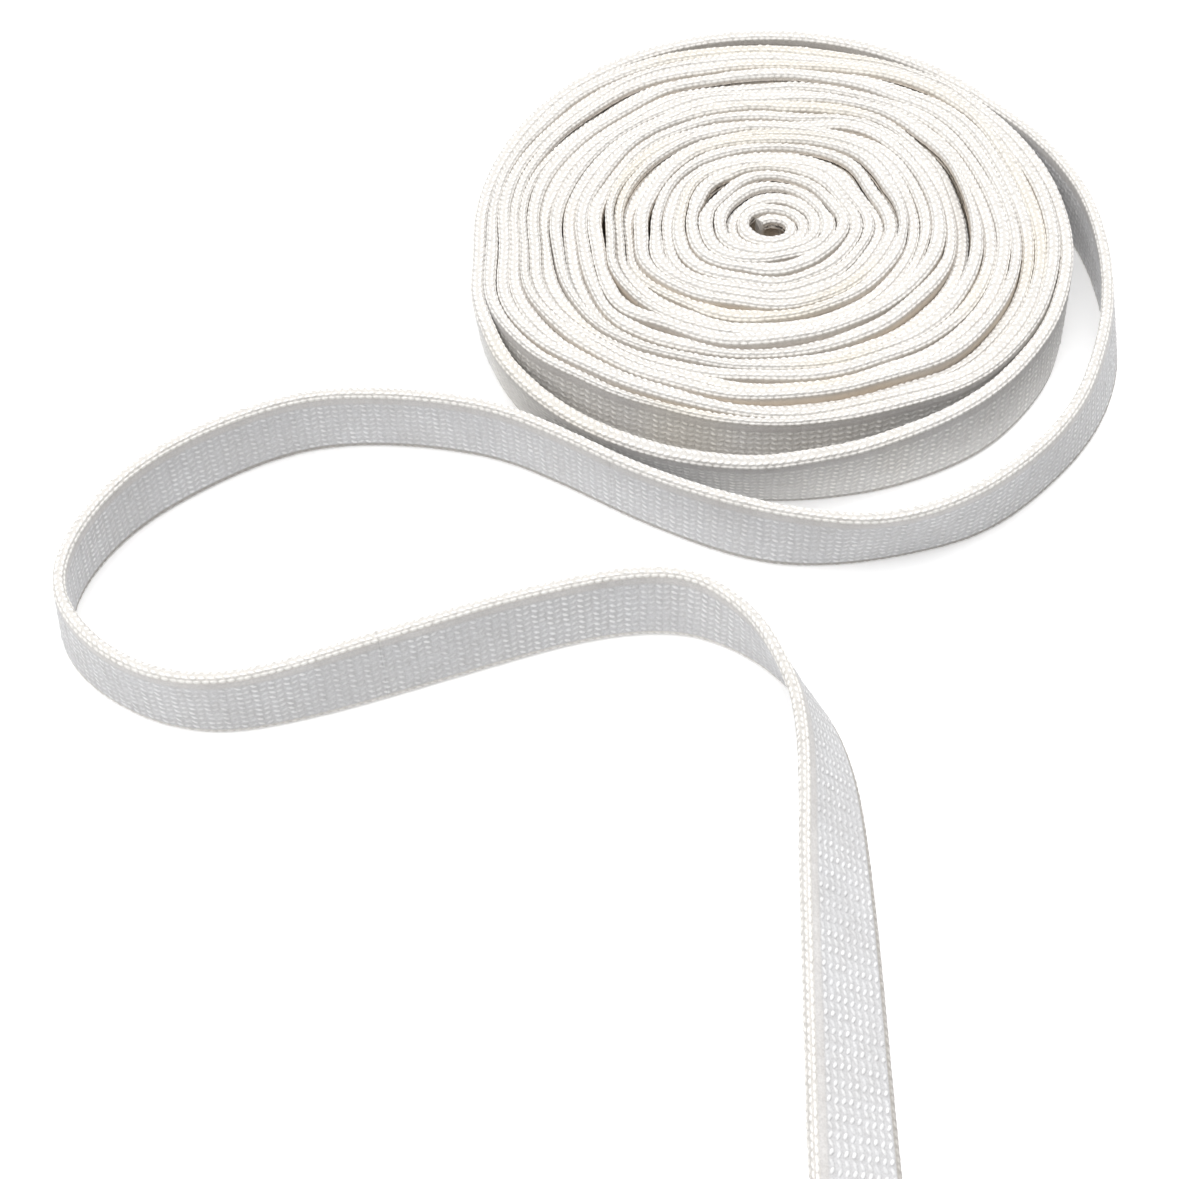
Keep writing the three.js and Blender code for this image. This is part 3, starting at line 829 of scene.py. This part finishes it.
def knotPatternGroup():
    # the knots of the mesh again, drawn finer: 1 on a crown and 0 between knots
    labels = ("Crown", "Selvage", "Bead", "Strip", "Foot Shade", "Each")
    outputs = [(label, "NodeSocketFloat") for label in labels]
    group, start, end = groupWithSockets("knotPattern", [], outputs)

    def work(operation, first, second=0.0, third=0.0):
        return reckon(group, operation, first, second, third)

    uv = group.nodes.new("ShaderNodeUVMap")
    uv.uv_map = "weave"
    apart = group.nodes.new("ShaderNodeSeparateXYZ")
    group.links.new(uv.outputs["UV"], apart.inputs[0])
    along = work("DIVIDE", apart.outputs[0], weaveScale)
    around = work("FLOORED_MODULO", work("DIVIDE", apart.outputs[1], weaveScale), yarnsRound)
    yarn = work("FLOOR", around)
    side = work("SUBTRACT", work("SUBTRACT", around, yarn), 0.5)
    yarnOdd = work("FLOORED_MODULO", yarn, 2)
    onItsFace = work("FLOORED_MODULO", yarn, yarnsRound / 2)
    selvage = work("GREATER_THAN", onItsFace, webbing["faceYarns"] - 0.5)
    fromTop = work("ABSOLUTE", work("SUBTRACT", around, topYarn))
    bead = work("COMPARE", fromTop, webbing["beadColumn"], 0.5)
    edging = work("MAXIMUM", selvage, bead)
    place = work("ADD", along, work("MULTIPLY", work("MULTIPLY", yarnOdd, edging), 0.5))
    pick = work("FLOOR", place)
    mid = work("SUBTRACT", work("SUBTRACT", place, pick), 0.5)
    pickOdd = work("FLOORED_MODULO", pick, 2)
    odd = work("MULTIPLY_ADD", work("SUBTRACT", yarnOdd, pickOdd), selvage, pickOdd)
    way = work("MULTIPLY", work("MULTIPLY_ADD", odd, -2, 1), work("SUBTRACT", 1, bead))
    cell = group.nodes.new("ShaderNodeCombineXYZ")
    group.links.new(pick, cell.inputs[0])
    group.links.new(yarn, cell.inputs[1])
    each = group.nodes.new("ShaderNodeTexWhiteNoise")
    each.noise_dimensions = "2D"
    group.links.new(cell.outputs[0], each.inputs["Vector"])
    slip = work("MULTIPLY", work("SUBTRACT", each.outputs["Value"], 0.5), webbing["slip"])
    mid = work("ADD", mid, slip)
    turned = math.radians(webbing["lean"])
    aside = work("MULTIPLY", work("MULTIPLY", way, side), math.sin(turned))
    ahead = work("MULTIPLY", work("MULTIPLY", way, mid), math.sin(turned))
    longways = work("MULTIPLY_ADD", mid, math.cos(turned), aside)
    sideways = work("SUBTRACT", work("MULTIPLY", side, math.cos(turned)), ahead)
    shorter = work("MULTIPLY_ADD", bead, webbing["beadLength"] - 1, 1)
    longways = work("MULTIPLY", work("MULTIPLY", longways, webbing["knotLength"]), shorter)
    narrower = webbing["knotWidth"] - webbing["dashWidth"]
    narrow = work("MULTIPLY_ADD", edging, narrower, webbing["dashWidth"])
    sideways = work("MULTIPLY", sideways, narrow)
    spread = work("ADD", work("MULTIPLY", longways, longways), work("MULTIPLY", sideways, sideways))
    dome = work("MAXIMUM", work("SUBTRACT", webbing["knotTop"], spread), 0)
    dome = work("POWER", dome, webbing["knotPower"])
    # every second row of the face is weaker
    weaker = work("MULTIPLY", pickOdd, work("SUBTRACT", 1, edging))
    weaker = work("MULTIPLY", weaker, webbing["weakPick"] - 1)
    fainter = work("MULTIPLY", work("SUBTRACT", each.outputs["Value"], 1), webbing["uneven"])
    dome = work("MULTIPLY", dome, work("MULTIPLY", work("ADD", weaker, 1), work("ADD", fainter, 1)))
    # below the beads of the upper selvage comes a strip that is nearly smooth
    strip = mapped(group, fromTop, *cotton["stripEdge"], 1, 0)
    strip = work("MULTIPLY", strip, work("SUBTRACT", 1, selvage))
    smoothness, stripHeight = cotton["stripCrown"]
    plain = work("MULTIPLY", strip, work("GREATER_THAN", fromTop, webbing["beadColumn"] + 0.5))
    crown = mixNumber(group, work("MULTIPLY", plain, smoothness), dome, stripHeight)
    # and the column that the webbing stands on is darker, a painted contact shadow
    below = work("MULTIPLY_ADD", work("LESS_THAN", around, yarnsRound / 2), yarnsRound, around)
    offFoot = work("ABSOLUTE", work("SUBTRACT", below, yarnsRound - cotton["footShadePlace"]))
    foot = mapped(group, offFoot, *cotton["footShadeReach"], 1, 0)
    found = {"Crown": crown, "Selvage": selvage, "Bead": bead, "Strip": strip, "Foot Shade": foot}
    found["Each"] = each.outputs["Value"]
    for label, value in found.items():
        group.links.new(value, end.inputs[label])
    return group


def cottonColourGroup():
    tints = {
        "Face": "face", "Shaded Loose Face": "shadedLooseFace", "Selvage": "selvage", "Strip": "strip",
        "Foot Shade": "foot", "Valley Shade": "valleyShade", "Edge Valley Shade": "edgeValleyShade", "Bead Valley Shade": "beadValleyShade",
        "Crevice Shade": "creviceShadeColor", "Aged": "aged", "Mottle": "mottleTint", "Each": "eachTint", "Lint": "lintTint",
    }
    inputs = [(label, "NodeSocketColor", color(cotton[key])) for label, key in tints.items()]
    outputs = [("Color", "NodeSocketColor"), ("Roughness", "NodeSocketFloat")]
    group, start, end = groupWithSockets("cottonColour", inputs, outputs)
    given = start.outputs
    coords = group.nodes.new("ShaderNodeTexCoord").outputs["Object"]
    knots = useGroup(group, knotPattern)
    # the plain colour of the face, the strip and the selvage, and the painted contact shadow at the foot
    # the loose end is the same cotton, painted darker and cooler as shade
    tint = mixColor(group, "MIX", readAttribute(group, "wound"), given["Shaded Loose Face"], given["Face"])
    # the strip: its own creamier tint, darkened with painted shade from the beads above
    tint = mixColor(group, "MIX", knots["Strip"], tint, given["Strip"])
    tint = mixColor(group, "MIX", knots["Selvage"], tint, given["Selvage"])
    tint = mixColor(group, "MULTIPLY", knots["Foot Shade"], tint, given["Foot Shade"])
    oldest, strongest = cotton["agedMost"]
    aged = mapped(group, readAttribute(group, "tone"), 0, oldest, 0, strongest)
    tint = mixColor(group, "MIX", aged, tint, given["Aged"])
    # clouding, knots that differ, and the grain of the yarn
    mottle = noise(group, coords, 1 / (cotton["mottleSize"] * mm), 2)
    tint = mixColor(group, "MULTIPLY", mapped(group, mottle, *cotton["mottle"]), tint, given["Mottle"])
    each = mapped(group, knots["Each"], 0, 1, 0, cotton["eachMost"])
    tint = mixColor(group, "MULTIPLY", each, tint, given["Each"])
    lint = noise(group, coords, 1 / (cotton["lintSize"] * mm), 1)
    tint = mixColor(group, "MULTIPLY", mapped(group, lint, *cotton["lint"]), tint, given["Lint"])
    # painted shade between the knots, less of it in patches of the face
    shade = mixColor(group, "MIX", knots["Selvage"], given["Valley Shade"], given["Edge Valley Shade"])
    shade = mixColor(group, "MIX", knots["Bead"], shade, given["Bead Valley Shade"])
    valleyShade = mixColor(group, "MULTIPLY", 1.0, tint, shade)
    patches = noise(group, coords, 1 / (cotton["patchSize"] * mm), 1)
    clear = reckon(group, "MAXIMUM", mapped(group, patches, *cotton["patches"]), knots["Selvage"])
    raised = reckon(group, "MULTIPLY", knots["Crown"], clear)
    tint = mixColor(group, "MIX", mapped(group, raised, *cotton["valleyShadeReach"], 1.0, 0.0), tint, valleyShade)
    # and painted shade deep between the turns
    creviceShade = mapped(group, readAttribute(group, "creviceShade"), 0, 1, 0, cotton["creviceShadeMost"])
    tint = mixColor(group, "MIX", creviceShade, tint, given["Crevice Shade"])
    group.links.new(tint, end.inputs["Color"])
    roughness = mapped(group, knots["Crown"], 0, 1, *cotton["roughness"])
    group.links.new(roughness, end.inputs["Roughness"])
    return group


def yarnBumpGroup():
    group, start, end = groupWithSockets("yarnBump", [], [("Height", "NodeSocketFloat")])
    uv = group.nodes.new("ShaderNodeUVMap")
    uv.uv_map = "weave"
    stretch = group.nodes.new("ShaderNodeMapping")
    stretch.inputs["Scale"].default_value = cotton["strands"]
    group.links.new(uv.outputs["UV"], stretch.inputs["Vector"])
    strands = noise(group, stretch.outputs["Vector"], 1.0, 3)
    fineness, fuzzHeight = cotton["fuzz"]
    coords = group.nodes.new("ShaderNodeTexCoord").outputs["Object"]
    yarn = reckon(group, "MULTIPLY_ADD", noise(group, coords, fineness, 2), fuzzHeight, strands)
    crown = useGroup(group, knotPattern)["Crown"]
    height = reckon(group, "MULTIPLY_ADD", crown, cotton["knotBump"], yarn)
    group.links.new(height, end.inputs["Height"])
    return group


knotPattern = knotPatternGroup()
cottonColour = cottonColourGroup()
yarnBump = yarnBumpGroup()


def cottonMaterial():
    material = bpy.data.materials.new("undyedCotton")
    material.use_nodes = True
    tree = material.node_tree
    shader = tree.nodes["Principled BSDF"]
    shade = useGroup(tree, cottonColour)
    bump = tree.nodes.new("ShaderNodeBump")
    bump.inputs["Strength"].default_value = cotton["bumpStrength"]
    bump.inputs["Distance"].default_value = cotton["knotDepth"] / cotton["knotBump"] * mm
    tree.links.new(useGroup(tree, yarnBump)["Height"], bump.inputs["Height"])
    tree.links.new(bump.outputs["Normal"], shader.inputs["Normal"])
    tree.links.new(shade["Color"], shader.inputs["Base Color"])
    tree.links.new(shade["Roughness"], shader.inputs["Roughness"])
    sheen, sheenRoughness = cotton["sheen"]
    shader.inputs["Sheen Weight"].default_value = sheen
    shader.inputs["Sheen Roughness"].default_value = sheenRoughness
    shader.inputs["Specular IOR Level"].default_value = cotton["specular"]
    return material


undyed = cottonMaterial()
for name, piece in pieces.items():
    piece.data.materials.append(undyed)
    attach(piece, "root")
    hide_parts("loose_end" if name in looseNames else "wound_roll")
print("cotton on", len(pieces), "pieces")


# Table and light
studio = {
    "floorSize": 6.0,         # m
    "floorColor": (0.78, 0.78, 0.78),
    "floorRoughness": 0.9,
    "floorSpecular": 0.1,
    "floorGlow": 0.28,        # the light table's own light
    "softbox": (3.4, 1.0),    # m
    "softboxPlace": (-0.06, 0.06, 1.15),
    "softboxPower": 40.5,     # W
    "surround": 0.2,          # strength of the white room light
}


def addStudio():
    size = studio["floorSize"] / 2
    mesh = bpy.data.meshes.new("table")
    corners = [(-size, -size, 0), (size, -size, 0), (size, size, 0), (-size, size, 0)]
    mesh.from_pydata(corners, [], [(0, 1, 2, 3)])
    table = bpy.data.objects.new("table", mesh)
    bpy.context.scene.collection.objects.link(table)
    paint = bpy.data.materials.new("tableWhite")
    paint.use_nodes = True
    shader = paint.node_tree.nodes["Principled BSDF"]
    shader.inputs["Base Color"].default_value = color(studio["floorColor"])
    shader.inputs["Roughness"].default_value = studio["floorRoughness"]
    shader.inputs["Specular IOR Level"].default_value = studio["floorSpecular"]
    shader.inputs["Emission Color"].default_value = (1.0, 1.0, 1.0, 1.0)
    shader.inputs["Emission Strength"].default_value = studio["floorGlow"]
    mesh.materials.append(paint)
    lamp = bpy.data.lights.new("softbox", "AREA")
    lamp.shape = "RECTANGLE"
    lamp.size, lamp.size_y = studio["softbox"]
    lamp.energy = studio["softboxPower"]
    box = bpy.data.objects.new("softbox", lamp)
    box.location = studio["softboxPlace"]
    box.rotation_euler = (-box.location).to_track_quat("-Z", "Y").to_euler()
    bpy.context.scene.collection.objects.link(box)
    world = bpy.data.worlds.new("surround")
    world.use_nodes = True
    background = world.node_tree.nodes["Background"]
    background.inputs["Color"].default_value = (1.0, 1.0, 1.0, 1.0)
    background.inputs["Strength"].default_value = studio["surround"]
    bpy.context.scene.world = world
    bpy.context.scene.view_settings.view_transform = "Standard"


addStudio()
print("table and light set")
